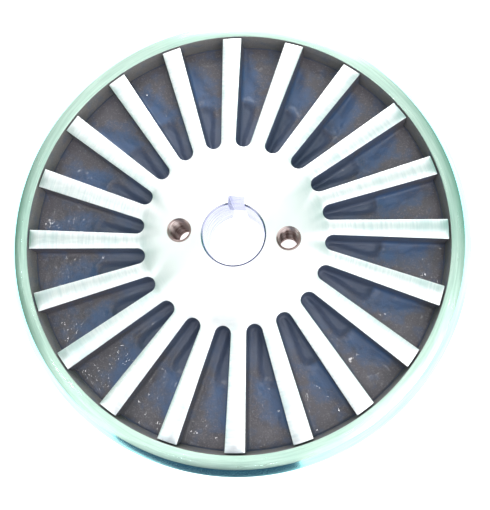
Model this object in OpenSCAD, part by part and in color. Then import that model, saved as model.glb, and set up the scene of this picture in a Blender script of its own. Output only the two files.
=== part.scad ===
// Ribbed flywheel: a cast body with a keyed hub, and a turned ring shrunk onto it.
// Millimetres, +Z up. The origin is the centre of the bore on the back face, so the
// wheel lies on z = 0 with its machined, ribbed face up and its keyway towards +Y.

/* [Overall] */
// Outside diameter of the rim ring
outer_d = 165; // [150:1:210]
// Height from the back face to the machined front face
height = 22; // [18:0.5:32]

/* [Bore and keyway] */
// Diameter of the bore
bore_d = 22; // [16:0.5:27]
// Width of the keyway
key_w = 6; // [4:0.5:8]
// Height of the keyway beyond the bore wall
key_rise = 2.8; // [1.8:0.1:3.8]
// Chamfer at both ends of the bore
bore_chamfer = 0.6; // [0.2:0.1:1.2]

/* [Puller holes] */
// Distance between the axes of the two tapped puller holes
puller_span = 39; // [38:0.5:46]
// Minor diameter of the puller thread
puller_minor_d = 6.8; // [4.2:0.1:8.5]
// Depth of the 45 degree countersink at both ends of each puller hole
puller_csk = 1; // [0.4:0.1:1.6]

/* [Ribs] */
// Number of ribs, and of pockets between them
rib_count = 20; // [14:1:24]
// Width of a rib where it leaves the hub face
rib_hub_w = 5.2; // [3.5:0.1:6]
// Width of a rib at the ring
rib_rim_w = 7; // [4:0.1:9]
// Distance by which the centre line of a rib misses the axis
rib_lead = 3; // [0:0.1:5]
// Direction of the first rib, in degrees from +X
rib_turn = 3.4; // [0:0.1:18]
// Gap between the end of a rib and the ring
rib_end_gap = 0.7; // [0.3:0.1:1.5]
// Depth of the turned groove in that gap, below the pocket floors
groove_depth = 0.5; // [0.3:0.1:1]

/* [Pockets] */
// Diameter of the plain hub face that the pocket tips reach
hub_face_d = 64.5; // [60:0.5:80]
// Depth of the pockets below the front face
pocket_depth = 8; // [5:0.5:10]
// Diameter of the step in the pocket floors
step_d = 105; // [90:1:120]
// Extra depth of the well inside the step
well_depth = 1.6; // [0.6:0.1:2.5]
// Width of the floor strip left along the clockwise side of the well
strip_w = 3.8; // [2.5:0.1:5]
// Extra depth of the scoop outside the step
scoop_depth = 0.7; // [0.3:0.1:1.5]
// Radius of the edge of the scoop
scoop_edge_r = 26; // [20:1:40]
// Distance kept between the outer end of the scoop and the ring
scoop_end_gap = 3.5; // [2:0.5:8]
// Distance kept between the well or the scoop and the rib beside it
rib_foot = 0.5; // [0.3:0.1:1]

/* [Rim ring] */
// Radial width of the ring
ring_w = 7.5; // [5.5:0.1:10]
// Outer chamfer on the front of the ring
ring_chamfer = 3; // [1:0.1:4]
// Outer chamfer on the back of the ring
ring_back_chamfer = 1; // [0.5:0.1:2]
// Edge break on the front inner edge of the ring
ring_edge = 0.3; // [0.1:0.1:0.5]

/* [Ring seat] */
// Height of the shoulder that stops the ring at the back
shoulder_h = 3; // [2:0.5:4]
// Radial width of that shoulder
shoulder_w = 2.5; // [1.5:0.1:3.5]
// Radial clearance between the shoulder and the ring
shoulder_gap = 0.2; // [0.1:0.05:0.4]

/* [Back recess] */
// Diameter of the hub boss on the back
boss_d = 56; // [52:1:60]
// Outside diameter of the recess in the back
recess_d = 112; // [95:1:125]
// Depth of the recess
recess_depth = 3.5; // [2:0.5:6]
// Draft of the recess walls, in degrees
recess_draft = 12; // [3:1:20]

/* [Hidden] */
$fn = 96;

over = 1;                          // how far each cutter passes the face it opens
tip_steps = 14;                    // flats that make up the round tip of a pocket
pitch = 360 / rib_count;
ring_r = outer_d / 2 - ring_w;     // where the body and the ring meet
hub_r = hub_face_d / 2;
step_r = step_d / 2;
floor_z = height - pocket_depth;

// A rib widens at an even rate along its centre line.
rib_widening = (rib_rim_w - rib_hub_w) / (ring_r - hub_r);
rib_axis_w = rib_hub_w - rib_widening * hub_r;
rib_side_angle = atan(rib_widening / 2);

function unit(angle) = [cos(angle), sin(angle)];
function across(a, b) = a.x * b.y - a.y * b.x;

// A pocket lies between two rib sides, which meet near the axis. Its frame has the
// centre line of its clockwise rib along +X.
side_cw = unit(rib_side_angle);
side_ccw = unit(pitch - rib_side_angle);
start_cw = [0, rib_lead + rib_axis_w / 2];
start_ccw = (rib_lead - rib_axis_w / 2) * unit(pitch + 90);
corner = start_cw + side_cw * across(start_ccw - start_cw, side_ccw) / across(side_cw, side_ccw);
half_angle = pitch / 2 - rib_side_angle;
middle = unit(pitch / 2);

// The tip is one full round that touches both rib sides and the hub face circle.
tip_a = 1 / pow(sin(half_angle), 2) - 1;
tip_b = 2 * (corner * middle) / sin(half_angle) - 2 * hub_r;
tip_c = corner * corner - hub_r * hub_r;
tip_r = (sqrt(tip_b * tip_b - 4 * tip_a * tip_c) - tip_b) / (2 * tip_a);

// A wedge with a full round at its narrow end, between the rib sides less a margin.
module wedge(margin, bottom, top) {
    apex = corner + middle * margin / sin(half_angle);
    centre = corner + middle * tip_r / sin(half_angle);
    sweep = 180 - pitch + 2 * rib_side_angle;
    tip = [for (i = [0 : tip_steps])
        centre + (tip_r - margin) * unit(270 + rib_side_angle - i * sweep / tip_steps)];
    translate([0, 0, bottom])
        linear_extrude(top - bottom)
            polygon(concat(tip, [apex + side_ccw * outer_d / 2, apex + side_cw * outer_d / 2]));
}

// The half of the pocket on the counter-clockwise side of the floor strip.
module beyond_strip(bottom, top) {
    translate([0, 0, bottom])
        linear_extrude(top - bottom)
            polygon([corner + strip_w * unit(rib_side_angle + 90),
                     corner + strip_w * unit(rib_side_angle + 90) + side_cw * outer_d,
                     corner + outer_d * unit(rib_side_angle + 90) + side_cw * outer_d,
                     corner + outer_d * unit(rib_side_angle + 90)]);
}

// The well: the deeper part of the floor, from the tip out to the step.
module well() {
    intersection() {
        wedge(rib_foot, floor_z - well_depth, floor_z + over);
        beyond_strip(floor_z - well_depth, floor_z + over);
        translate([0, 0, floor_z - well_depth])
            cylinder(r = step_r, h = well_depth + over);
    }
}

// The scoop's edge is one arc, from where the strip meets the step to the rib near the ring.
function on_line_at(start, dir, r) =
    start + dir * (sqrt(pow(start * dir, 2) - start * start + r * r) - start * dir);
scoop_inner = on_line_at(corner + strip_w * unit(rib_side_angle + 90), side_cw, step_r);
scoop_outer = on_line_at(corner, side_ccw, ring_r - scoop_end_gap);
scoop_chord = scoop_outer - scoop_inner;
scoop_rise = sqrt(pow(scoop_edge_r, 2) - scoop_chord * scoop_chord / 4);
scoop_centre = (scoop_inner + scoop_outer) / 2
    + scoop_rise * [-scoop_chord.y, scoop_chord.x] / norm(scoop_chord);

module scoop() {
    intersection() {
        wedge(rib_foot, floor_z - scoop_depth, floor_z + over);
        difference() {
            translate([scoop_centre.x, scoop_centre.y, floor_z - scoop_depth])
                cylinder(r = scoop_edge_r, h = scoop_depth + over);
            translate([0, 0, floor_z - scoop_depth - over])
                cylinder(r = step_r, h = scoop_depth + 3 * over);
        }
    }
}

module pockets() {
    for (i = [0 : rib_count - 1])
        rotate(rib_turn + i * pitch) {
            wedge(0, floor_z, height + over);
            well();
            scoop();
        }
}

// A ring-shaped cutter between two radii.
module annulus(inner_r, outer_r, bottom, top) {
    translate([0, 0, bottom])
        difference() {
            cylinder(r = outer_r, h = top - bottom);
            translate([0, 0, -over])
                cylinder(r = inner_r, h = top - bottom + 2 * over);
        }
}

// A round hole through the wheel, with a 45 degree countersink at both ends.
module through_hole(d, csk) {
    translate([0, 0, -over])
        cylinder(d = d, h = height + 2 * over);
    translate([0, 0, height - csk])
        cylinder(d1 = d, d2 = d + 2 * (csk + over), h = csk + over);
    translate([0, 0, -over])
        cylinder(d1 = d + 2 * (csk + over), d2 = d, h = csk + over);
}

module keyed_bore() {
    through_hole(bore_d, bore_chamfer);
    translate([-key_w / 2, 0, -over])
        cube([key_w, bore_d / 2 + key_rise, height + 2 * over]);
}

module back_recess() {
    slope = recess_depth * tan(recess_draft);
    lip = over * tan(recess_draft);
    rotate_extrude()
        polygon([[boss_d / 2 - lip, -over],
                 [recess_d / 2 + lip, -over],
                 [recess_d / 2 - slope, recess_depth],
                 [boss_d / 2 + slope, recess_depth]]);
}

module flywheel_body() {
    color("gainsboro")
        difference() {
            union() {
                cylinder(r = ring_r, h = height);
                cylinder(r = ring_r + shoulder_w, h = shoulder_h);
            }
            pockets();
            annulus(ring_r - rib_end_gap, ring_r + over, floor_z - groove_depth, height + over);
            back_recess();
            keyed_bore();
            for (side = [-1, 1])
                translate([side * puller_span / 2, 0, 0])
                    through_hole(puller_minor_d, puller_csk);
        }
}

module rim_ring() {
    outer_r = outer_d / 2;
    counterbore_r = ring_r + shoulder_w + shoulder_gap;
    color("darkseagreen")
        rotate_extrude()
            polygon([[ring_r, shoulder_h],
                     [counterbore_r, shoulder_h],
                     [counterbore_r, 0],
                     [outer_r - ring_back_chamfer, 0],
                     [outer_r, ring_back_chamfer],
                     [outer_r, height - ring_chamfer],
                     [outer_r - ring_chamfer, height],
                     [ring_r + ring_edge, height],
                     [ring_r, height - ring_edge]]);
}

flywheel_body();
rim_ring();
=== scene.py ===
"""Looks of a ribbed flywheel: a cast, enamelled and faced body with a turned steel ring on it.

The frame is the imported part's: z = 0 is the back face, z = 22 mm the machined front face,
and the keyway points to +Y. Shapes are worked out in millimetres and turned to Blender's
metres where a mesh, a light or the camera is made.
"""
import logging
import math
from dataclasses import dataclass, field
from enum import Enum

import bmesh
import bpy
import numpy as np
from mathutils import Matrix, Vector
from mathutils.geometry import delaunay_2d_cdt


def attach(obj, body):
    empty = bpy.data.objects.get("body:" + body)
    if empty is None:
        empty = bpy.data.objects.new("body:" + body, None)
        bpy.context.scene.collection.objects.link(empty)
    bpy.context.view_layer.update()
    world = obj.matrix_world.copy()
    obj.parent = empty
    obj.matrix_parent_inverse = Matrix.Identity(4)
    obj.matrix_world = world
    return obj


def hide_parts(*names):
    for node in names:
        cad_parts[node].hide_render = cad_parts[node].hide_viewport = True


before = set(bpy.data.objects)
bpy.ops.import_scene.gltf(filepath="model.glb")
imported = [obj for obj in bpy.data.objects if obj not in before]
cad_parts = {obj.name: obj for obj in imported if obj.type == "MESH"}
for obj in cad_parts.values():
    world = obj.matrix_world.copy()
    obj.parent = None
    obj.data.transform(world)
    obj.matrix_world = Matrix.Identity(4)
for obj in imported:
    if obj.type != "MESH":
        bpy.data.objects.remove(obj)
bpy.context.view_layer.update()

METRE = 0.001
SEED = 1931
# The shader counts a turn of its tangent from 0 to 1: glare goes across the tool rings.
QUARTER_TURN = 0.25
log = logging.getLogger("flywheel")

Array = np.ndarray


# ---------------------------------------------------------------- small mathematics

def unit(degrees: float | Array) -> Array:
    """The unit vector at an angle from +X, (cos a, sin a)."""
    a = np.radians(degrees)
    return np.stack([np.cos(a), np.sin(a)], axis=-1)


def across(a: Array, b: Array) -> float:
    """The plane cross product, a.x b.y - a.y b.x."""
    return a[..., 0] * b[..., 1] - a[..., 1] * b[..., 0]


def smooth(t: Array) -> Array:
    """The smooth step 3t^2 - 2t^3, with t held between 0 and 1."""
    t = np.clip(t, 0.0, 1.0)
    return t * t * (3 - 2 * t)


def turned(points: Array, degrees: float) -> Array:
    """Points turned about the axis.

    Args:
        points: An array whose last axis starts with x and y.
        degrees: The turn, counter-clockwise from the front.
    Returns:
        A copy with x and y turned and any z kept.
    """
    c, s = math.cos(math.radians(degrees)), math.sin(math.radians(degrees))
    out = np.array(points, float)
    out[..., 0] = c * points[..., 0] - s * points[..., 1]
    out[..., 1] = s * points[..., 0] + c * points[..., 1]
    return out


class Lumps:
    """Seeded smooth noise over the plane: random heights on a square lattice, joined smoothly."""

    SIZE = 64

    def __init__(self, seed: int) -> None:
        """Draws the lattice from its own seed."""
        self.lattice = np.random.default_rng(seed).uniform(-1, 1, (self.SIZE, self.SIZE))

    def at(self, x: Array, y: Array, cell: float) -> Array:
        """The noise at points, from -1 to 1.

        Each point blends the four lattice heights round it by the smooth step of its place
        in the cell.

        Args:
            x: First coordinate, in millimetres.
            y: Second coordinate, in millimetres.
            cell: The lattice spacing, in millimetres.
        Returns:
            One height per point.
        """
        u, v = x / cell, y / cell
        i, j = np.floor(u).astype(int), np.floor(v).astype(int)
        a, b = smooth(u - i), smooth(v - j)
        n = self.SIZE
        grid = self.lattice
        low = grid[i % n, j % n] * (1 - a) + grid[(i + 1) % n, j % n] * a
        high = grid[i % n, (j + 1) % n] * (1 - a) + grid[(i + 1) % n, (j + 1) % n] * a
        return low * (1 - b) + high * b


# ---------------------------------------------------------------- finishes

def linear(code: str) -> tuple[float, float, float, float]:
    """A linear colour from an sRGB hex value.

    Args:
        code: The value, such as "#8fa0a6".
    Returns:
        Red, green, blue and alpha, where c becomes ((c + 0.055) / 1.055) ^ 2.4 above 0.04.
    """
    part = [int(code[i:i + 2], 16) / 255 for i in (1, 3, 5)]
    flat = [c / 12.92 if c <= 0.04045 else ((c + 0.055) / 1.055) ** 2.4 for c in part]
    return (*flat, 1.0)


def put(tree: bpy.types.NodeTree, kind: str, inputs: dict | None = None,
        out: int | str = 0, **settings: object) -> bpy.types.NodeSocket | None:
    """Adds a node with its settings, and sets or links its inputs.

    Args:
        tree: The node tree.
        kind: The node's type, less the words ShaderNode that all of them start with.
        inputs: For each input's name or number, a value or the output socket to link.
        out: The name or number of the output that is wanted.
        **settings: The node's own properties.
    Returns:
        That output's socket, or None if the node has no outputs.
    """
    node = tree.nodes.new("ShaderNode" + kind)
    for name, value in settings.items():
        setattr(node, name, value)
    for name, value in (inputs or {}).items():
        if isinstance(value, bpy.types.NodeSocket):
            tree.links.new(value, node.inputs[name])
        else:
            node.inputs[name].default_value = value
    return node.outputs[out] if node.outputs else None


@dataclass(frozen=True)
class Recipe:
    """What every finish shares: a name, and one Principled shader on Object coordinates."""

    name: str

    def surface(self, tree: bpy.types.NodeTree, place: object) -> dict[str, object]:
        """The shader's inputs, worked out by each finish's own nodes.

        Args:
            tree: The material's node tree.
            place: The Object coordinates' socket.
        Returns:
            The shader's inputs by name.
        """
        raise NotImplementedError

    def make(self) -> bpy.types.Material:
        """Builds the material, if it wasn't built before.

        Returns:
            The material.
        """
        material = bpy.data.materials.get(self.name)
        if material is None:
            material = bpy.data.materials.new(self.name)
            material.use_nodes = True
            tree = material.node_tree
            tree.nodes.clear()
            place = put(tree, "TexCoord", out="Object")
            shader = put(tree, "BsdfPrincipled", self.surface(tree, place))
            put(tree, "OutputMaterial", {"Surface": shader})
        return material


@dataclass(frozen=True)
class TurnedMetal(Recipe):
    """Metal cut on a lathe: fine tool rings round the axis give it a soft, streaked glare.

    The tool's feed is about 0.15 mm a turn, which is too fine to show, so the rings are
    drawn as coarse as ring_mm. Marks fade out round calm_mm, inside which the cut is finer.
    """

    light: str
    dark: str
    patch: str
    roughness: float = 0.3
    ring_mm: float = 0.5
    ring_depth_mm: float = 0.02
    streak_share: float = 0.5
    patch_share: float = 0.5
    patch_mm: float = 14.0
    anisotropy: float = 0.75
    calm_mm: float = 0.0

    def surface(self, tree: bpy.types.NodeTree, place: object) -> dict[str, object]:
        """Tool rings, streaks and patches.

        The radius r is the length of (x, y). Rings are one-dimensional noise of r, streaks
        are noise of (r, x / r, y / r), which is drawn out along each ring, and patches are
        broad noise of the place.

        Args:
            tree: The material's node tree.
            place: The Object coordinates' socket.
        Returns:
            The shader's inputs by name.
        """
        flat = put(tree, "VectorMath", {0: place, 1: (1, 1, 0)},
                   operation="MULTIPLY")
        radius = put(tree, "VectorMath", {0: flat}, 1, operation="LENGTH")
        heading = put(tree, "VectorMath", {0: flat}, operation="NORMALIZE")
        rings = put(tree, "TexNoise",
                    {"W": radius, "Scale": 1 / (self.ring_mm * METRE), "Detail": 2.0},
                    noise_dimensions="1D")
        # A streak is 12 times as long as it is wide at mid radius.
        outward = put(tree, "Math", {0: radius, 1: 1 / (self.ring_mm * 1.6 * METRE)},
                      operation="MULTIPLY")
        along = put(tree, "VectorMath", {0: heading, "Scale": 5.0}, operation="SCALE")
        polar = put(tree, "VectorMath",
                    {0: along, 1: put(tree, "CombineXYZ", {2: outward})},
                    operation="ADD")
        streaks = put(tree, "TexNoise",
                      {"Vector": polar, "Scale": 1.0, "Detail": 3.0, "Roughness": 0.6})
        patches = put(tree, "TexNoise",
                      {"Vector": place, "Scale": 1 / (self.patch_mm * METRE),
                       "Detail": 3.0, "Roughness": 0.65})
        marked = put(tree, "MapRange", {0: radius, 1: (self.calm_mm - 7) * METRE,
                                                  2: (self.calm_mm + 5) * METRE})
        colour = linear(self.light)
        for noise, low, high, share, tint in (
                (streaks, 0.35, 0.65, self.streak_share, self.dark),
                (patches, 0.48, 0.68, self.patch_share, self.patch)):
            shown = put(tree, "MapRange", {0: noise, 1: low, 2: high, 4: share})
            shown = put(tree, "Math", {0: shown, 1: marked}, operation="MULTIPLY")
            colour = put(tree, "Mix", {0: shown, 6: colour, 7: linear(tint)}, 2,
                         data_type="RGBA")
        rough = put(tree, "MapRange", {0: streaks, 1: 0.3, 2: 0.7,
                                                 3: self.roughness * 0.85,
                                                 4: self.roughness * 1.2})
        height = put(tree, "Math", {0: rings, 1: streaks}, operation="ADD")
        bump = put(tree, "Bump", {"Height": height, "Strength": 0.5,
                                            "Distance": self.ring_depth_mm * METRE})
        tangent = put(tree, "Tangent", direction_type="RADIAL", axis="Z")
        return {"Base Color": colour, "Metallic": 1.0, "Roughness": rough,
                "Anisotropic": self.anisotropy, "Anisotropic Rotation": QUARTER_TURN,
                "Tangent": tangent, "Normal": bump}


@dataclass(frozen=True)
class BoredMetal(Recipe):
    """Metal of a reamed bore or a cut thread: smooth, with a faint draw of the tool."""

    light: str
    dark: str
    roughness: float = 0.25
    marks_round_per_m: float = 90.0
    marks_along_per_m: float = 2200.0

    def surface(self, tree: bpy.types.NodeTree, place: object) -> dict[str, object]:
        """Noise squeezed along the axis, which gives the rings of the tool.

        Args:
            tree: The material's node tree.
            place: The Object coordinates' socket.
        Returns:
            The shader's inputs by name.
        """
        squeeze = (self.marks_round_per_m, self.marks_round_per_m, self.marks_along_per_m)
        squeezed = put(tree, "VectorMath", {0: place, 1: squeeze},
                       operation="MULTIPLY")
        marks = put(tree, "TexNoise", {"Vector": squeezed, "Scale": 1.0,
                                                 "Detail": 3.0})
        share = put(tree, "MapRange", {0: marks, 1: 0.35, 2: 0.65})
        colour = put(tree, "Mix",
                     {0: share, 6: linear(self.light), 7: linear(self.dark)}, 2,
                     data_type="RGBA")
        bump = put(tree, "Bump", {"Height": marks, "Strength": 0.4,
                                            "Distance": 0.02 * METRE})
        return {"Base Color": colour, "Metallic": 1.0, "Roughness": self.roughness,
                "Normal": bump}


@dataclass(frozen=True)
class CastingEnamel(Recipe):
    """Stoved enamel over rough cast iron: deep and glossy, with the sand's grain under it.

    Four masks come with the mesh: grain where sand shows through, sheen in the scoop, which is a
    painted blue reflection, deep in the well, which is painted shade of the sunken floor, and tip
    at the narrow end.
    """

    body: str = "#545b6e"
    grain: str = "#605d63"
    # Lighter flecks in the grain: painted glints of light on the sand.
    sparkle: str = "#827c84"
    # The scoop's blue: a painted reflection, not the enamel's own colour.
    sheen: str = "#4b648a"
    # The well's blue-grey: painted shade of the sunken floor.
    deep: str = "#58657f"
    tip: str = "#667189"
    grain_mm: float = 0.55
    clot_mm: float = 4.0
    unevenness: float = 0.35
    roughness: float = 0.55
    gloss: float = 0.35

    def surface(self, tree: bpy.types.NodeTree, place: object) -> dict[str, object]:
        """The masks' colours laid over each other, and noise at the size of moulding sand.

        Broad clots of sand move the soft edge between the painted blue sheen and the brown grain:
        each mask becomes mask + way * clots, held between 0 and 1.

        Args:
            tree: The material's node tree.
            place: The Object coordinates' socket.
        Returns:
            The shader's inputs by name.
        """
        mask = {n: put(tree, "Attribute", out="Fac", attribute_name=n)
                for n in Shell.MASKS}
        sand = put(tree, "TexNoise",
                   {"Vector": place, "Scale": 1 / (self.grain_mm * METRE), "Detail": 4.0,
                    "Roughness": 0.7})
        clots = put(tree, "TexNoise",
                    {"Vector": place, "Scale": 1 / (self.clot_mm * METRE), "Detail": 3.0})
        clots = put(tree, "MapRange", {0: clots, 1: 0.3, 2: 0.7,
                                                 3: -self.unevenness, 4: self.unevenness})
        for name, way in (("sheen", 1.0), ("grain", -1.0)):
            mask[name] = put(tree, "Math", {0: clots, 1: way, 2: mask[name]},
                             operation="MULTIPLY_ADD", use_clamp=True)
        # Painted glints: the highest specks of sand in the grain take the lighter fleck colour.
        spark = put(tree, "MapRange", {0: sand, 1: 0.55, 2: 0.66})
        spark = put(tree, "Math", {0: mask["grain"], 1: spark},
                    operation="MULTIPLY")
        # Among the layers, sheen is a painted reflection, deep a painted shade and the flecks
        # painted glints.
        colour = linear(self.body)
        for share, tint in ((mask["grain"], self.grain), (mask["tip"], self.tip),
                            (mask["sheen"], self.sheen), (mask["deep"], self.deep),
                            (spark, self.sparkle)):
            colour = put(tree, "Mix", {0: share, 6: colour, 7: linear(tint)}, 2,
                         data_type="RGBA")
        rough = put(tree, "MapRange", {0: mask["grain"], 3: self.roughness,
                                                 4: self.roughness + 0.15})
        bump = put(tree, "Bump",
                   {"Height": sand, "Strength": 0.6, "Distance": 0.3 * METRE})
        return {"Base Color": colour, "Metallic": 0.0, "Roughness": rough, "IOR": 1.46,
                "Coat Weight": self.gloss, "Coat Roughness": 0.05, "Normal": bump}


@dataclass(frozen=True)
class StudioPaper(Recipe):
    """White paper sweep: matt, and lit so strongly that no shadow shows on it."""

    colour: str = "#ffffff"
    glow: float = 1.0

    def surface(self, tree: bpy.types.NodeTree, place: object) -> dict[str, object]:
        """White with the glow of the light behind it, and fibres about 1 mm across.

        Args:
            tree: The material's node tree.
            place: The Object coordinates' socket.
        Returns:
            The shader's inputs by name.
        """
        fibres = put(tree, "TexNoise", {"Vector": place, "Scale": 900.0})
        bump = put(tree, "Bump", {"Height": fibres, "Strength": 0.05,
                                            "Distance": 0.05 * METRE})
        return {"Base Color": linear(self.colour), "Roughness": 0.9,
                "Emission Color": linear(self.colour), "Emission Strength": self.glow,
                "Normal": bump}


@dataclass(frozen=True)
class FlagVelvet(Recipe):
    """Dark blue velvet: it gives back little light, so polished metal mirrors it dark."""

    light: str = "#3c5068"
    dark: str = "#28384c"

    def surface(self, tree: bpy.types.NodeTree, place: object) -> dict[str, object]:
        """Two blues mixed by a nap that lies in tufts about 2 mm across.

        Args:
            tree: The material's node tree.
            place: The Object coordinates' socket.
        Returns:
            The shader's inputs by name.
        """
        nap = put(tree, "TexNoise", {"Vector": place, "Scale": 600.0})
        tone = put(tree, "Mix", {0: nap, 6: linear(self.dark), 7: linear(self.light)},
                   2, data_type="RGBA")
        return {"Base Color": tone, "Roughness": 1.0}


class Finish(Enum):
    """The finishes of the flywheel and its backdrop, each with what makes it."""

    # Faced across ribs and hub in one cut: near white, with streaks that dull the glare.
    FACED_IRON = TurnedMetal("faced_grey_iron", "#fbfdfd", "#d3dee2", "#c4e2e0",
                             roughness=0.36, ring_mm=0.55, patch_share=0.45, calm_mm=33.0)
    # Mild steel, finely turned: its pale green is a painted reflection, a band of glare that
    # follows the ring.
    RING_STEEL = TurnedMetal("turned_ring_steel", "#c6e0d3", "#8fb3a5", "#a2cdbe",
                             ring_mm=0.4, patch_share=0.35, patch_mm=30.0)
    # A finer cut on the slope, nearer a mirror: its cyan is a painted reflection of what it faces.
    RING_CHAMFER = TurnedMetal("turned_ring_chamfer", "#aeeef0", "#80d3d8", "#94dfe2",
                               roughness=0.2, ring_mm=0.4, patch_share=0.3, patch_mm=30.0,
                               anisotropy=0.0)
    # The same steel in a coarser cut, painted a darker grey-green: painted shade on the wheel's
    # outer side.
    RING_SIDE = TurnedMetal("turned_ring_side", "#8ea39f", "#566c6a", "#748a87",
                            roughness=0.34, ring_mm=0.6, patch_mm=22.0)
    # A roughing cut left as it is: plain grey, with rings that can be counted.
    BACK_IRON = TurnedMetal("rough_turned_back", "#c9cdce", "#8d9496", "#a3aaa9",
                            roughness=0.4, ring_mm=0.8)
    # Reamed to size: smooth, with faint rings down the hole; its pale violet is painted shade on
    # the bore's wall.
    BORE = BoredMetal("reamed_bore", "#cdd0e6", "#999ebe")
    # Tapped iron, bright on the crests and dull between them; its brownish tone is painted shade
    # inside the hole.
    THREAD = BoredMetal("cut_thread_in_iron", "#ece0de", "#a8938f", 0.35)
    # The sweep that the wheel lies on: pure white.
    PAPER = StudioPaper("white_paper")
    # The card on the near side: a soft dark patch in the chamfer.
    FLAG = FlagVelvet("dark_blue_velvet")
    # Stoved on the raw casting: a painted blue sheen in the scoops, brown and sandy towards the
    # rim.
    ENAMEL = CastingEnamel("stoved_enamel_on_casting")
    # The same enamel on the ring's inner wall, painted lighter grey to offset the shade that falls
    # on the wall.
    WALL_PAINT = CastingEnamel("ring_wall_enamel_painted_lighter", body="#8b9093", grain="#8d8a88",
                               sparkle="#a5a19f")


# ---------------------------------------------------------------- mesh gathering

@dataclass
class Shell:
    """Patches of one closed skin, gathered as arrays and welded where their edges meet."""

    corners: list[Array] = field(default_factory=list)
    masks: list[Array] = field(default_factory=list)
    faces: list[Array] = field(default_factory=list)
    finishes: list[Array] = field(default_factory=list)
    palette: list[Finish] = field(default_factory=list)
    count: int = 0

    MASKS = ("grain", "sheen", "deep", "tip")

    def number(self, finish: Finish) -> int:
        """The material slot of a finish, added when it is first used."""
        if finish not in self.palette:
            self.palette.append(finish)
        return self.palette.index(finish)

    def add(self, points: Array, faces: Array, finish: Finish | Array,
            masks: Array | None = None) -> None:
        """Adds a patch.

        Args:
            points: Its (n, 3) corners in millimetres.
            faces: Its (m, 4) corner numbers. A triangle repeats its last corner.
            finish: One finish, or an array of slot numbers, one per face.
            masks: Its (n, 4) enamel masks, or None for none.
        """
        self.corners.append(points)
        self.masks.append(np.zeros((len(points), 4)) if masks is None else masks)
        self.faces.append(faces + self.count)
        slots = finish if isinstance(finish, np.ndarray) else np.full(
            len(faces), self.number(finish))
        self.finishes.append(slots)
        self.count += len(points)

    def add_grid(self, points: Array, finish: Finish | Array, wrap: bool = False,
                 masks: Array | None = None) -> None:
        """Adds a surface of two parameters.

        Args:
            points: A (rows, columns, 3) grid.
            finish: One finish, or an array of slot numbers per column gap.
            wrap: Whether the last column joins the first.
            masks: A (rows, columns, 4) grid of masks, or None.
        """
        rows, cols = points.shape[:2]
        index = np.arange(rows * cols).reshape(rows, cols)
        if wrap:
            index = np.concatenate([index, index[:, :1]], axis=1)
        faces = np.stack([index[:-1, :-1], index[1:, :-1], index[1:, 1:], index[:-1, 1:]],
                         axis=-1)
        if isinstance(finish, np.ndarray):
            finish = np.broadcast_to(finish, faces.shape[:2]).reshape(-1)
        self.add(points.reshape(-1, 3), faces.reshape(-1, 4), finish,
                 None if masks is None else masks.reshape(-1, 4))

    def add_plane(self, outline: Array, holes: list[Array], z: float, finish: Finish) -> None:
        """Fills a flat face between its outline and its holes.

        The loops' points are joined by Delaunay triangles that keep every edge of a loop. A
        triangle stays if a line from its centre crosses the loops an odd number of times.

        Args:
            outline: The (n, 2) outer loop.
            holes: The (m, 2) inner loops.
            z: The height of the face.
            finish: Its finish.
        """
        loops = [outline, *holes]
        points = np.concatenate(loops)
        ends = np.concatenate([np.roll(loop, -1, axis=0) for loop in loops])
        starts = np.cumsum([0] + [len(loop) for loop in loops])
        edges = [(int(a + k), int(a + (k + 1) % (b - a)))
                 for a, b in zip(starts[:-1], starts[1:]) for k in range(b - a)]
        got = delaunay_2d_cdt([Vector(p) for p in points], edges, [], 0, 1e-7)
        source = np.array([ids[0] for ids in got[3]])
        faces = source[np.array([tuple(face) for face in got[2]])]
        x, y = points[faces].mean(axis=1).T[..., None]
        over = (points[:, 1] > y) != (ends[:, 1] > y)
        slope = (ends[:, 0] - points[:, 0]) / (ends[:, 1] - points[:, 1] + 1e-30)
        hits = over & (x < points[:, 0] + (y - points[:, 1]) * slope)
        faces = faces[hits.sum(axis=1) % 2 == 1]
        self.add(np.column_stack([points, np.full(len(points), z)]),
                 faces[:, [0, 1, 2, 2]], finish)

    def build(self, name: str, sharp_degrees: float = 32.0) -> bpy.types.Object:
        """Welds the patches, points the faces outwards, and makes the object.

        Corners within a ten-thousandth of a millimetre become one. A face that closes up
        at a pole loses its repeated corner.

        Args:
            name: The object's name.
            sharp_degrees: An edge that bends more than this is drawn sharp.
        Returns:
            The object, at the origin, in metres.
        """
        points, masks = np.concatenate(self.corners), np.concatenate(self.masks)
        faces, slots = np.concatenate(self.faces), np.concatenate(self.finishes)
        keys = np.round(points * 1e4).astype(np.int64)
        _, first, same = np.unique(keys, axis=0, return_index=True, return_inverse=True)
        faces = same.reshape(-1)[faces]
        polygons, kept = [], []
        for face, slot in zip(faces.tolist(), slots.tolist()):
            ring = [c for k, c in enumerate(face) if c != face[k - 1]]
            if len(set(ring)) == len(ring) >= 3:
                polygons.append(ring)
                kept.append(slot)
        mesh = bpy.data.meshes.new(name)
        mesh.from_pydata((points[first] * METRE).tolist(), [], polygons)
        for column, mask in enumerate(self.MASKS):
            layer = mesh.attributes.new(mask, "FLOAT", "POINT")
            layer.data.foreach_set("value", masks[first, column].astype(np.float32))
        mesh.polygons.foreach_set("material_index", kept)
        for finish in self.palette:
            mesh.materials.append(finish.value.make())
        work = bmesh.new()
        work.from_mesh(mesh)
        bmesh.ops.recalc_face_normals(work, faces=work.faces)
        loose = sum(1 for e in work.edges if not e.is_manifold)
        work.to_mesh(mesh)
        work.free()
        mesh.polygons.foreach_set("use_smooth", [True] * len(mesh.polygons))
        mesh.set_sharp_from_angle(angle=math.radians(sharp_degrees))
        mesh.update()
        piece = bpy.data.objects.new(name, mesh)
        bpy.context.collection.objects.link(piece)
        log.info("%s: %d faces, %d open edges", name, len(polygons), loose)
        return piece


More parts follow.
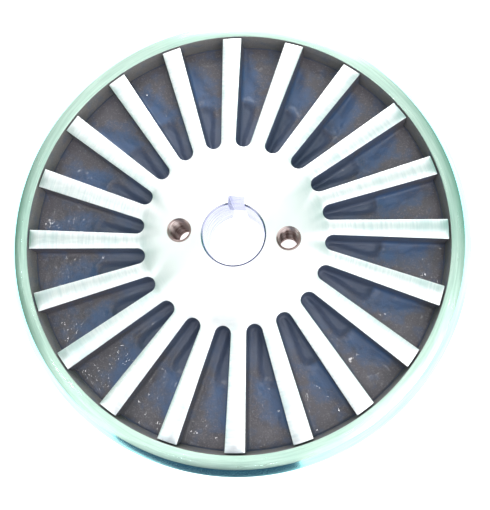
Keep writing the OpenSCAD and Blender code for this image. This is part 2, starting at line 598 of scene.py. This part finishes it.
def circle(radius: float, count: int, centre: tuple[float, float] = (0.0, 0.0)) -> Array:
    """A loop of points on a circle, counter-clockwise from +X."""
    return unit(np.arange(count) * 360 / count) * radius + np.array(centre)


def stacked(loops: list[Array], heights: list[float]) -> Array:
    """A (rows, columns, 3) grid from equal plane loops, each at its own height."""
    return np.stack([np.column_stack([loop, np.full(len(loop), z)])
                     for loop, z in zip(loops, heights)])


# ---------------------------------------------------------------- the cast body

@dataclass(frozen=True)
class PocketPlan:
    """Plan and depths of one pocket, in the frame of its clockwise rib."""

    ribs: int = 20
    turn: float = 3.4
    lead: float = 3.0
    hub_w: float = 5.2
    rim_w: float = 7.0
    hub_r: float = 32.25
    ring_r: float = 75.0
    rib_end_gap: float = 0.7
    top: float = 22.0
    floor: float = 14.0
    step_r: float = 52.5
    well: float = 1.6
    strip_w: float = 3.8
    scoop: float = 0.7
    scoop_edge_r: float = 26.0
    scoop_end_gap: float = 3.5
    well_corner: float = 1.6
    well_slope: float = 2.6
    well_lead: float = 0.35
    scoop_slope: float = 5.0
    scoop_lead: float = 1.6

    @property
    def pitch(self) -> float:
        """The angle from one rib to the next."""
        return 360 / self.ribs

    @property
    def end_r(self) -> float:
        """The radius of the ribs' ends."""
        return self.ring_r - self.rib_end_gap

    @property
    def widening(self) -> float:
        """How much wider a rib gets per millimetre outwards."""
        return (self.rim_w - self.hub_w) / (self.ring_r - self.hub_r)

    @property
    def side_angle(self) -> float:
        """The angle between a rib's side and its centre line."""
        return math.degrees(math.atan(self.widening / 2))

    @property
    def sides(self) -> tuple[Array, Array]:
        """Directions of the pocket's clockwise and counter-clockwise sides."""
        return unit(self.side_angle), unit(self.pitch - self.side_angle)

    @property
    def half_angle(self) -> float:
        """Half the angle between the two sides."""
        return self.pitch / 2 - self.side_angle

    @property
    def corner(self) -> Array:
        """Where the two sides would meet.

        Returns:
            The point, from which each side runs out along its own direction.
        """
        axis_w = self.hub_w - self.widening * self.hub_r
        start = np.array([0, self.lead + axis_w / 2])
        other = (self.lead - axis_w / 2) * unit(self.pitch + 90)
        cw, ccw = self.sides
        return start + cw * across(other - start, ccw) / across(cw, ccw)

    @property
    def tip_r(self) -> float:
        """The radius of the full round that touches both sides and the hub face's circle.

        Its centre is corner + middle * r / sin(half_angle), and that centre's distance from
        the axis is hub_r + r, which is a quadratic in r.

        Returns:
            The radius, in millimetres.
        """
        corner, sine = self.corner, math.sin(math.radians(self.half_angle))
        a = 1 / sine ** 2 - 1
        b = 2 * float(corner @ unit(self.pitch / 2)) / sine - 2 * self.hub_r
        c = float(corner @ corner) - self.hub_r ** 2
        return (math.sqrt(b * b - 4 * a * c) - b) / (2 * a)

    @staticmethod
    def reach(start: Array, way: Array, radius: float) -> float:
        """How far along a line the distance from the axis is the one given.

        With p for start and d for way it is sqrt((p.d)^2 - p.p + radius^2) - p.d.

        Args:
            start: A point on the line.
            way: The line's unit direction.
            radius: The distance from the axis.
        Returns:
            The distance from the start.
        """
        along = float(start @ way)
        return math.sqrt(along ** 2 - float(start @ start) + radius ** 2) - along

    @property
    def scoop_centre(self) -> Array:
        """The centre of the scoop's edge, which runs from the strip's end to the far rib.

        It lies on the chord's middle normal, sqrt(edge_r^2 - chord^2 / 4) away.

        Returns:
            The point, in plan.
        """
        cw, ccw = self.sides
        strip = self.corner + self.strip_w * unit(self.side_angle + 90)
        inner = strip + cw * self.reach(strip, cw, self.step_r)
        outer = self.corner + ccw * self.reach(self.corner, ccw,
                                               self.ring_r - self.scoop_end_gap)
        chord = outer - inner
        rise = math.sqrt(self.scoop_edge_r ** 2 - float(chord @ chord) / 4)
        return (inner + outer) / 2 + rise * np.array([-chord[1], chord[0]]) / np.linalg.norm(chord)

    def depths(self, points: Array) -> tuple[Array, Array]:
        """How far into the well and the scoop each floor point is.

        Each is the least distance to the edges that bound it, so it falls to nothing there.

        Args:
            points: Plan points in the pocket's frame.
        Returns:
            Distances inside the well and the scoop, in millimetres.
        """
        radius = np.linalg.norm(points, axis=-1)
        past_strip = across(self.sides[0], points - self.corner) - self.strip_w
        inside = self.step_r - radius
        # A rounded corner where the strip's edge meets the step: the smooth least of the two.
        soft = self.well_corner
        least = -soft * np.log(np.exp(-past_strip / soft) + np.exp(-inside / soft))
        in_arc = self.scoop_edge_r - np.linalg.norm(points - self.scoop_centre, axis=-1)
        return least, np.minimum(in_arc, -inside)

    def floor_at(self, points: Array) -> Array:
        """Height of the pocket's floor: flat, less a smooth step into the well and scoop."""
        well, scoop = self.depths(points)
        return (self.floor - self.well * smooth(well / self.well_slope + self.well_lead)
                - self.scoop * smooth((scoop + self.scoop_lead) / self.scoop_slope))


@dataclass
class CastBody:
    """The cast body: hub, web, ribs and pockets in one skin, with bore, keyway and threads."""

    plan: PocketPlan = field(default_factory=PocketPlan)
    bore_r: float = 11.0
    key_w: float = 6.0
    key_top: float = 13.8
    bore_chamfer: float = 0.6
    puller_x: float = 19.5
    thread_minor_r: float = 3.4
    thread_major_r: float = 4.0
    thread_pitch: float = 1.25
    countersink: float = 1.0
    groove_floor: float = 13.5
    seat_bottom: float = 3.0
    shoulder_r: float = 77.5
    boss_r: float = 28.0
    recess_r: float = 56.0
    recess_depth: float = 3.5
    draft: float = 0.045
    fillet: float = 1.1
    tip_rows: int = 9
    side_rows: int = 64
    floor_cols: int = 20
    rib_end_cols: int = 8
    thread_cols: int = 40

    def wall_profile(self) -> tuple[Array, Array, Array]:
        """The wall's cross-section from the machined edge to the floor.

        Returns:
            Offsets into the pocket, drops from the front face, and the share of the floor's
            own height in each point, 0 on the edge and 1 on the floor.
        """
        # Broken edge, drafted wall, then a quarter-round fillet.
        edge_out = np.array([-0.16, -0.05, 0.0])
        edge_drop = np.array([0.0, 0.05, 0.17])
        bend = np.radians(np.linspace(0, 90, 5))
        depth = self.plan.top - self.plan.floor
        wall_drop = np.linspace(edge_drop[-1], depth - self.fillet, 4)[1:]
        wall_out = self.draft * wall_drop
        fillet_out = wall_out[-1] + self.fillet * (1 - np.cos(bend[1:]))
        fillet_drop = depth - self.fillet * (1 - np.sin(bend[1:]))
        out = np.concatenate([edge_out, wall_out, fillet_out])
        drop = np.concatenate([edge_drop, wall_drop, fillet_drop])
        return out, drop, np.clip((drop - edge_drop[-1]) / (depth - edge_drop[-1]), 0, 1)

    def stations(self) -> tuple[Array, Array, Array, Array]:
        """Points and inward normals along both sides of a pocket, from its tip outwards.

        The first rows run round the tip, where a point is centre - tip_r * n and n swings
        from the pocket's middle line to the side's own normal. The rest run straight.

        Returns:
            Clockwise points, their normals, counter-clockwise points, their normals.
        """
        plan = self.plan
        middle = plan.pitch / 2
        centre = plan.corner + unit(middle) * plan.tip_r / math.sin(math.radians(plan.half_angle))
        swing = np.linspace(0, 90 - plan.half_angle, self.tip_rows)
        start = plan.tip_r / math.tan(math.radians(plan.half_angle))
        rows = []
        for side, way in zip(plan.sides, (1, -1)):
            tip_n = unit(middle + way * swing)
            tip_p = centre - plan.tip_r * tip_n
            end = plan.reach(plan.corner, side, plan.end_r)
            along = np.linspace(start, end, self.side_rows + 1)[1:]
            straight = plan.corner + along[:, None] * side
            normal = np.broadcast_to(tip_n[-1], straight.shape)
            rows += [np.concatenate([tip_p, straight]), np.concatenate([tip_n, normal])]
        return tuple(rows)

    def pocket(self, number: int) -> tuple[Array, Array]:
        """One pocket's skin as a grid: rows run outwards, columns cross from wall to wall.

        A row crosses as a U: the clockwise wall down, the floor, and the other wall up. The
        floor's points go evenly in angle and radius between the feet of the two walls.

        Args:
            number: Which pocket, which also sets its casting marks.
        Returns:
            The (rows, columns, 3) grid and its (rows, columns, 4) masks, in the wheel's frame.
        """
        plan = self.plan
        out, drop, share = self.wall_profile()
        cw_p, cw_n, ccw_p, ccw_n = self.stations()
        rough = Lumps(SEED + number)
        # Each pocket reads its own stretch of the noise.
        shift = (number + 1) * 37.0

        def wall(points: Array, normals: Array) -> Array:
            """One wall's grid, its foot carried down to the floor beside it.

            Args:
                points: The wall's plan points, from tip to ring.
                normals: Their normals into the pocket.
            Returns:
                A (rows, profile points, 3) grid.
            """
            plane = points[:, None] + out[None, :, None] * normals[:, None]
            along = np.linalg.norm(points, axis=-1)[:, None]
            wobble = 0.05 * share * rough.at(along + shift, drop[None] * 1.7, 2.6)
            plane = plane + wobble[..., None] * normals[:, None]
            foot = plan.floor_at(plane[:, -1])
            lower = (plan.floor - foot)[:, None] * share[None] ** 2
            return np.dstack([plane, plan.top - drop[None] - lower])

        left, right = wall(cw_p, cw_n), wall(ccw_p, ccw_n)
        t = np.linspace(0, 1, self.floor_cols + 1)[None, 1:-1]
        ends = left[:, -1], right[:, -1]
        radius = [np.hypot(e[:, 0], e[:, 1])[:, None] for e in ends]
        angle = [np.arctan2(e[:, 1], e[:, 0])[:, None] for e in ends]
        r = radius[0] * (1 - t) + radius[1] * t
        a = angle[0] * (1 - t) + angle[1] * t
        plane = np.stack([r * np.cos(a), r * np.sin(a)], axis=-1)
        # Casting marks: sand grain, and broader waves where the enamel has run.
        away = np.sin(np.pi * t) ** 0.4
        marks = (0.10 * rough.at(r, a * 60 + shift, 1.1) + 0.07 * rough.at(r * 1.3, a * 85, 0.55)
                 + 0.16 * rough.at(r + 9, a * 60, 4.5))
        floor = np.dstack([plane, plan.floor_at(plane) + marks * away])
        grid = np.concatenate([left, floor, right[:, ::-1]], axis=1)
        # The last row lies on the turned cylinder of the rib ends.
        end = grid[-1]
        radius_end = np.full(grid.shape[1], plan.end_r)
        radius_end[[0, -1]] += out[0]
        radius_end[[1, -2]] += out[1]
        end[:, :2] *= (radius_end / np.hypot(end[:, 0], end[:, 1]))[:, None]
        return turned(grid, plan.turn + number * plan.pitch), self.masks_of(grid)

    def masks_of(self, grid: Array) -> Array:
        """The enamel's masks on a pocket's grid, in its own frame.

        Deep covers the well, as painted shade of the sunken floor. Sheen, a painted blue
        reflection, grows into the scoop and dies away near the ring, and stays low on the walls.
        Grain takes the rest from mid radius out, and tip the rest inside it.

        Args:
            grid: The pocket's grid before it is turned to its place.
        Returns:
            Grain, sheen, deep and tip, each from 0 to 1.
        """
        plan = self.plan
        points = grid[..., :2]
        well, scoop = plan.depths(points)
        radius = np.linalg.norm(points, axis=-1)
        low = smooth((plan.floor + 2.5 - grid[..., 2]) / 2.0)
        # Painted shade over the sunken well.
        deep = smooth(well / 1.5 + 0.35)
        near_ring = smooth((plan.ring_r - 1 - radius) / 8)
        # Painted blue reflection in the scoop.
        sheen = 0.9 * smooth((scoop + 5.5) / 9.5) * near_ring * (1 - deep)
        grain = smooth((radius - 42) / 9) * (1 - sheen) * (1 - deep)
        tip = smooth((52.0 - radius) / 12.0)
        return np.stack([grain, sheen * low, deep * 0.75, tip * 0.8], axis=-1)

    def keyed_loop(self, radius: float) -> Array:
        """The bore's outline with its keyway, at a radius, counter-clockwise.

        The round part runs from one side of the slot to the other, and the slot's sides
        start where the circle meets them.

        Args:
            radius: Of the round part, in millimetres.
        Returns:
            A loop of points, the same number for every radius.
        """
        half = self.key_w / 2
        gap = math.degrees(math.asin(half / radius))
        round_part = unit(np.linspace(90 + gap, 450 - gap, 97)) * radius
        corner = 0.3
        side_y = np.linspace(round_part[-1, 1], self.key_top - corner, 5)[1:]
        bend = unit(np.linspace(0, 90, 4)) * corner + [half - corner, self.key_top - corner]
        right = np.concatenate([np.column_stack([np.full(4, half), side_y]), bend[1:]])
        left = right[::-1] * [-1, 1]
        return np.concatenate([round_part, right, left])

    def mouths(self) -> list[Array]:
        """The loops that the bore and the two puller holes cut in the front and back."""
        countersunk = self.thread_minor_r + self.countersink
        return [self.keyed_loop(self.bore_r + self.bore_chamfer)] + [
            circle(countersunk, self.thread_cols, (x, 0)) for x in (-self.puller_x, self.puller_x)]

    def add_bore(self, shell: Shell) -> None:
        """The bore and keyway, carried along the axis, with a chamfer at each end.

        Args:
            shell: Where they are added.
        """
        c, top = self.bore_chamfer, self.plan.top
        radii = [self.bore_r + c, self.bore_r, self.bore_r, self.bore_r, self.bore_r,
                 self.bore_r + c]
        heights = [top, top - c, top * 2 / 3, top / 3, c, 0.0]
        shell.add_grid(stacked([self.keyed_loop(r) for r in radii], heights), Finish.BORE,
                       wrap=True)

    def add_thread(self, shell: Shell, x: float) -> None:
        """A tapped through hole with countersunk mouths.

        The wall's radius is the larger of the thread and the countersink's cone. The
        thread rises from minor to major radius as a clipped triangle wave of
        z / pitch - angle / 360.

        Args:
            shell: Where the hole is added.
            x: Its centre on the X axis.
        """
        top, cols = self.plan.top, self.thread_cols
        z = np.concatenate([[top, top - 0.5], np.linspace(top - 1, 1, 129), [0.5, 0.0]])[:, None]
        turn = np.arange(cols)[None] * 360 / cols
        wave = 1 - np.abs(2 * ((z / self.thread_pitch - turn / 360) % 1) - 1)
        rise = np.clip(wave * 1.45 - 0.25, 0, 1) * (self.thread_major_r - self.thread_minor_r)
        mouth = self.thread_minor_r + self.countersink
        cone = mouth - np.minimum(z, top - z)
        inside = np.clip(np.minimum(z, top - z) / 0.5, 0, 1)
        r = np.maximum(self.thread_minor_r + rise * inside, cone)
        grid = np.dstack([x + r * np.cos(np.radians(turn)), r * np.sin(np.radians(turn)),
                          np.broadcast_to(z, r.shape)])
        shell.add_grid(grid, Finish.THREAD, wrap=True)

    def add_front(self, shell: Shell) -> Array:
        """The pockets, rib ends, groove wall and machined face.

        Args:
            shell: Where they are added.
        Returns:
            The (n, 2) points round the foot of the rib ends, which the seat continues.
        """
        plan = self.plan
        wall = len(self.wall_profile()[0])
        enamel, iron = shell.number(Finish.ENAMEL), shell.number(Finish.FACED_IRON)
        across_cols = 2 * wall + self.floor_cols - 2
        slots = np.full(across_cols, enamel)
        slots[[0, 1, -1, -2]] = iron
        grids = []
        for number in range(plan.ribs):
            grid, masks = self.pocket(number)
            shell.add_grid(grid, slots, masks=masks)
            grids.append(grid)
        outline, foot = [], []
        t = np.linspace(0, 1, self.rib_end_cols + 1)
        for number, grid in enumerate(grids):
            # The rib end lies between the last row of the pocket before and of this one.
            first, last = grids[number - 1][-1, ::-1][:wall], grid[-1, :wall]
            ends = [(np.hypot(edge[:, 0], edge[:, 1])[:, None],
                     np.unwrap(np.arctan2(edge[:, 1], edge[:, 0]))[:, None], edge[:, 2:])
                    for edge in (first, last)]
            (r0, a0, z0), (r1, a1, z1) = ends
            a = a0 + ((a1 - a0 + math.pi) % (2 * math.pi) - math.pi) * t
            r, z = r0 * (1 - t) + r1 * t, z0 * (1 - t) + z1 * t
            rib_end = np.dstack([r * np.cos(a), r * np.sin(a), z])
            base = rib_end[-1:].copy()
            base[..., 2] = self.groove_floor
            patch = np.concatenate([rib_end, base])
            rows = np.full((len(patch) - 1, 1), enamel)
            rows[:2] = iron
            shell.add_grid(patch, np.broadcast_to(rows, (len(rows), self.rib_end_cols)))
            floor_row = grid[-1, wall - 1:across_cols + 2 - wall]
            under = floor_row.copy()
            under[:, 2] = self.groove_floor
            shell.add_grid(np.stack([floor_row, under]), Finish.ENAMEL)
            foot += [base[0, :-1, :2], under[:-1, :2]]
            outline += [rib_end[0, :-1, :2], grid[:0:-1, 0, :2], grid[:-1, -1, :2]]
        shell.add_plane(np.concatenate(outline), self.mouths(), plan.top, Finish.FACED_IRON)
        return np.concatenate(foot)

    def add_back(self, shell: Shell, foot: Array) -> None:
        """The ring seat, shoulder, rim face, cast recess and boss face.

        Each row is the foot's points carried to a radius and height of the profile.

        Args:
            shell: Where they are added.
            foot: The points round the foot of the rib ends.
        """
        angle = np.arctan2(foot[:, 1], foot[:, 0])
        ring_r, deep = self.plan.ring_r, self.recess_depth
        outer = [(ring_r, self.groove_floor), (ring_r, self.seat_bottom),
                 (self.shoulder_r - 0.2, self.seat_bottom), (self.shoulder_r, 2.8),
                 (self.shoulder_r, 0.3), (self.shoulder_r - 0.3, 0.0),
                 (66.0, 0.0)]
        # Both walls of the recess have one soft section, of offsets and heights.
        section = [(0.7, 0.0), (0.25, 0.12), (0.0, 0.5), (-0.45, deep - 1.1),
                   (-0.9, deep - 0.35)]
        wall = [(self.recess_r + offset, z) for offset, z in section]
        web = [(r, deep) for r in np.linspace(self.recess_r - 1.9, self.boss_r + 1.9, 15)]
        boss = [(self.boss_r - offset, z) for offset, z in section[::-1]]
        first_cast = len(outer) + 1
        rows = [np.column_stack([foot, np.full(len(foot), self.groove_floor)])]
        rough = Lumps(SEED + 101)
        for r, z in outer + wall + web + boss:
            x, y = r * np.cos(angle), r * np.sin(angle)
            cast = (r, z) in web
            lift = 0.12 * rough.at(x, y, 2.2) + 0.15 * rough.at(x, y, 9.0) if cast else 0.0
            rows.append(np.column_stack([x, y, z + lift * np.ones(len(x))]))
        grid = np.stack(rows)
        iron, enamel = shell.number(Finish.BACK_IRON), shell.number(Finish.ENAMEL)
        gaps = np.full((len(rows) - 1, 1), iron)
        gaps[0] = enamel
        gaps[first_cast:-2] = enamel
        masks = np.zeros((*grid.shape[:2], 4))
        masks[first_cast:, :, 0] = 0.6
        shell.add_grid(grid, np.broadcast_to(gaps, (len(gaps), len(foot))), wrap=True,
                       masks=masks)
        shell.add_plane(grid[-1, :, :2], self.mouths(), 0.0, Finish.BACK_IRON)

    def build(self) -> bpy.types.Object:
        """Builds the whole body as one closed skin, in place of its plain node.

        Returns:
            The body's object.
        """
        shell = Shell()
        foot = self.add_front(shell)
        self.add_back(shell, foot)
        self.add_bore(shell)
        for x in (-self.puller_x, self.puller_x):
            self.add_thread(shell, x)
        return shell.build("cast_body")


@dataclass
class RimRing:
    """The steel ring: one lathe profile with broken edges, painted on its inner wall."""

    seat_r: float = 75.0
    outer_r: float = 82.5
    top: float = 22.0
    chamfer: float = 3.0
    back_chamfer: float = 1.0
    counterbore_r: float = 77.7
    seat_bottom: float = 3.0
    groove_floor: float = 13.5
    sand_on_wall: float = 0.9
    segments: int = 512

    def profile(self) -> tuple[Array, list[Finish]]:
        """The closed cross-section, with the finish of each of its lengths.

        Returns:
            The (n, 2) radii and heights, and one finish per length.
        """
        s, o, t, c, b = self.seat_r, self.outer_r, self.top, self.chamfer, self.back_chamfer
        # Painted light in the ring's finishes: the steel's pale green and the chamfer's cyan are
        # painted reflections, the side's darker grey-green painted shade, and the wall's enamel
        # painted lighter against its shade.
        steel, paint, bevel = Finish.RING_STEEL, Finish.WALL_PAINT, Finish.RING_CHAMFER
        side = Finish.RING_SIDE
        rows = [(s, self.seat_bottom, steel), (s, self.groove_floor, paint),
                (s, t - 4, paint), (s, t - 0.35, paint), (s + 0.08, t - 0.1, steel),
                (s + 0.3, t, steel), (o - c - 0.12, t, steel), (o - c + 0.1, t - 0.06, bevel),
                (o - 0.12, t - c + 0.1, bevel), (o, t - c - 0.12, side),
                (o, t / 2, side), (o, b + 0.1, side), (o - 0.1, b - 0.05, side),
                (o - b, 0.05, steel), (o - b - 0.15, 0.0, steel),
                (self.counterbore_r + 0.2, 0.0, steel), (self.counterbore_r, 0.2, steel),
                (self.counterbore_r, self.seat_bottom, steel)]
        return np.array([(r, z) for r, z, _ in rows]), [f for *_, f in rows]

    def build(self) -> bpy.types.Object:
        """Carries the profile round the axis and makes the ring.

        Returns:
            The ring's object.
        """
        profile, finishes = self.profile()
        shell = Shell()
        turn = np.arange(self.segments) * 360 / self.segments
        heading = unit(turn)
        closed = np.concatenate([profile, profile[:1]])
        grid = np.stack([np.column_stack([heading * r, np.full(len(heading), z)])
                         for r, z in closed])
        slots = np.array([shell.number(f) for f in finishes])[:, None]
        masks = np.zeros((*grid.shape[:2], 4))
        masks[..., 0] = self.sand_on_wall
        shell.add_grid(grid, np.broadcast_to(slots, (len(slots), self.segments)), wrap=True,
                       masks=masks)
        return shell.build("rim_ring_turned", 25.0)


# ---------------------------------------------------------------- studio

@dataclass
class Studio:
    """The paper floor, the soft lights, the sky's tint and the camera."""

    eye: tuple[float, float, float] = (24.3, -39.6, 228.9)
    aim: tuple[float, float, float] = (4.8, -7.1, 22.0)
    up: tuple[float, float, float] = (-0.0766, 0.9838, 0.1618)
    lens: float = 44.17
    white: str = "#ffffff"
    left_gap: str = "#1f6a56"
    right_gap: str = "#3f9480"
    near_gap: str = "#14283c"
    gap_fade: float = 0.2
    sky_strength: float = 1.32
    paper_half: float = 900.0
    paper_drop: float = 0.15
    dome_r: float = 2500.0
    flag_x: tuple[float, float] = (-62.0, 42.0)
    flag_y: float = -112.0
    flag_z: tuple[float, float] = (0.5, 90.0)
    box_size: float = 300.0
    glint_size: float = 14.0
    glint_high: float = 560.0
    glint_watts: float = 0.04

    @staticmethod
    def sheet(name: str, grid: Array, finish: Finish) -> bpy.types.Object:
        """Makes a piece of the backdrop, which isn't part of the wheel.

        Args:
            name: The object's name.
            grid: Its (rows, columns, 3) surface, in millimetres.
            finish: Its finish.
        Returns:
            The object.
        """
        shell = Shell()
        shell.add_grid(grid, finish)
        piece = shell.build(name)
        return piece

    def floor(self) -> None:
        """A wide flat sheet of white paper just under the wheel."""
        span = np.linspace(-self.paper_half, self.paper_half, 13)
        x, y = np.meshgrid(span, span, indexing="ij")
        self.sheet("paper_floor", np.dstack([x, y, np.full_like(x, -self.paper_drop)]),
                   Finish.PAPER)

    def backdrop(self) -> None:
        """A white dome that only the camera sees, so that no gap of the tent shows behind.

        A point is radius * (cos e cos a, cos e sin a, sin e) for bearing a and elevation e.
        """
        bearing, rise = np.meshgrid(np.arange(49) * 7.5, np.linspace(-20.0, 90.0, 19))
        heading, height = unit(bearing), unit(rise)
        grid = np.dstack([heading * height[..., :1], height[..., 1:]]) * self.dome_r
        dome = self.sheet("white_dome", grid, Finish.PAPER)
        dome.visible_diffuse = dome.visible_glossy = dome.visible_shadow = False
        dome.visible_transmission = dome.visible_volume_scatter = False

    def flag(self) -> None:
        """An upright dark card on the near side, out of sight, which the chamfer mirrors."""
        (left, right), near, (low, high) = self.flag_x, self.flag_y, self.flag_z
        card = self.sheet("black_flag", np.array([[[left, near, low], [left, near, high]],
                                                  [[right, near, low], [right, near, high]]]),
                          Finish.FLAG)
        card.visible_camera = card.visible_shadow = False

    def soft_light(self, name: str, place: tuple[float, float, float], size: float,
                   watts: float) -> None:
        """A square soft box that points at the hub.

        Args:
            name: The light's name.
            place: Its centre in millimetres.
            size: Its side in millimetres.
            watts: Its power.
        """
        data = bpy.data.lights.new(name, "AREA")
        data.shape, data.size, data.energy = "SQUARE", size * METRE, watts
        data.color = linear(self.white)[:3]
        lamp = bpy.data.objects.new(name, data)
        lamp.location = Vector(place) * METRE
        lamp.rotation_mode = "QUATERNION"
        lamp.rotation_quaternion = (-Vector(place)).to_track_quat("-Z", "Y")
        lamp.visible_camera = False
        bpy.context.collection.objects.link(lamp)

    def sky(self) -> None:
        """A white tent with three gaps in its sides, which the room's colours show through.

        How far a direction lies in a gap is the cosine between it and the gap's bearing in
        plan. The gaps close towards the top of the tent.
        """
        world = bpy.data.worlds.new("studio_tent")
        world.use_nodes = True
        tree = world.node_tree
        tree.nodes.clear()
        way = put(tree, "TexCoord", out="Generated")
        plan = put(tree, "VectorMath", {0: way, 1: (1, 1, 0)}, operation="MULTIPLY")
        level = put(tree, "VectorMath", {0: plan}, 1, operation="LENGTH")
        heading = put(tree, "VectorMath", {0: plan}, operation="NORMALIZE")
        colour = linear(self.white)
        for bearing, half_width, top, tint in ((180.0, 25.0, 0.30, self.left_gap),
                                               (36.0, 17.0, 0.28, self.right_gap),
                                               (252.0, 13.0, 0.14, self.near_gap)):
            below_top = put(tree, "MapRange",
                            {0: level, 1: top, 2: top + self.gap_fade})
            cosine = put(tree, "VectorMath", {0: heading, 1: (*unit(bearing), 0.0)},
                         1, operation="DOT_PRODUCT")
            outer, inner = (math.cos(math.radians(half_width + soft)) for soft in (14.0, -4.0))
            inside = put(tree, "MapRange", {0: cosine, 1: outer, 2: inner})
            shown = put(tree, "Math", {0: inside, 1: below_top},
                        operation="MULTIPLY")
            colour = put(tree, "Mix", {0: shown, 6: colour, 7: linear(tint)}, 2,
                         data_type="RGBA")
        glow = put(tree, "Background",
                   {"Color": colour, "Strength": self.sky_strength})
        put(tree, "OutputWorld", {"Surface": glow})
        bpy.context.scene.world = world

    def camera(self) -> None:
        """The camera, held with a slight roll, looking down past the edge of the wheel."""
        data = bpy.data.cameras.new("camera")
        data.lens, data.sensor_width, data.sensor_fit = self.lens, 36.0, "HORIZONTAL"
        data.clip_start, data.clip_end = 0.01, 10.0
        eye, aim = Vector(self.eye), Vector(self.aim)
        back = (eye - aim).normalized()
        right = Vector(self.up).cross(back).normalized()
        up = back.cross(right)
        camera = bpy.data.objects.new("camera", data)
        turn = Matrix((right, up, back)).transposed().to_4x4()
        camera.matrix_world = Matrix.Translation(eye * METRE) @ turn
        bpy.context.collection.objects.link(camera)
        bpy.context.scene.camera = camera

    def build(self) -> None:
        """Sets up the camera, the sky, the floor and the lights."""
        self.camera()
        self.sky()
        self.floor()
        self.backdrop()
        self.flag()
        for name, bearing, away, high, watts in (
                ("far_soft_box", 92.0, 520.0, 420.0, 1.3),
                ("side_soft_box", 325.0, 330.0, 520.0, 0.5),
                ("near_soft_box", 222.0, 400.0, 480.0, 0.25)):
            x, y = unit(bearing) * away
            self.soft_light(name, (x, y, high), self.box_size, watts)
        # Small lamps at the mirror angle of a few pockets light single grains.
        for number, (x, y) in enumerate(((125.0, -70.0), (-95.0, -110.0), (-250.0, 60.0),
                                         (20.0, -190.0), (190.0, 40.0), (-200.0, -60.0))):
            self.soft_light(f"glint_lamp_{number}", (x, y, self.glint_high), self.glint_size,
                            self.glint_watts)
        bpy.context.scene.view_settings.view_transform = "Standard"


def main() -> None:
    """Builds the studio and the two pieces."""
    logging.basicConfig(level=logging.INFO, format="%(message)s")
    Studio().build()
    slots = {"cast_body": ("flywheel_body", "cast_iron_body"),
             "rim_ring_turned": ("rim_ring", "steel_ring")}
    for maker in (CastBody(), RimRing()):
        piece = maker.build()
        node, slot = slots[piece.name]
        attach(piece, "root")
        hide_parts(node)
        log.info("%s stands for %s", piece.name, node)


if __name__ == "__main__":
    main()
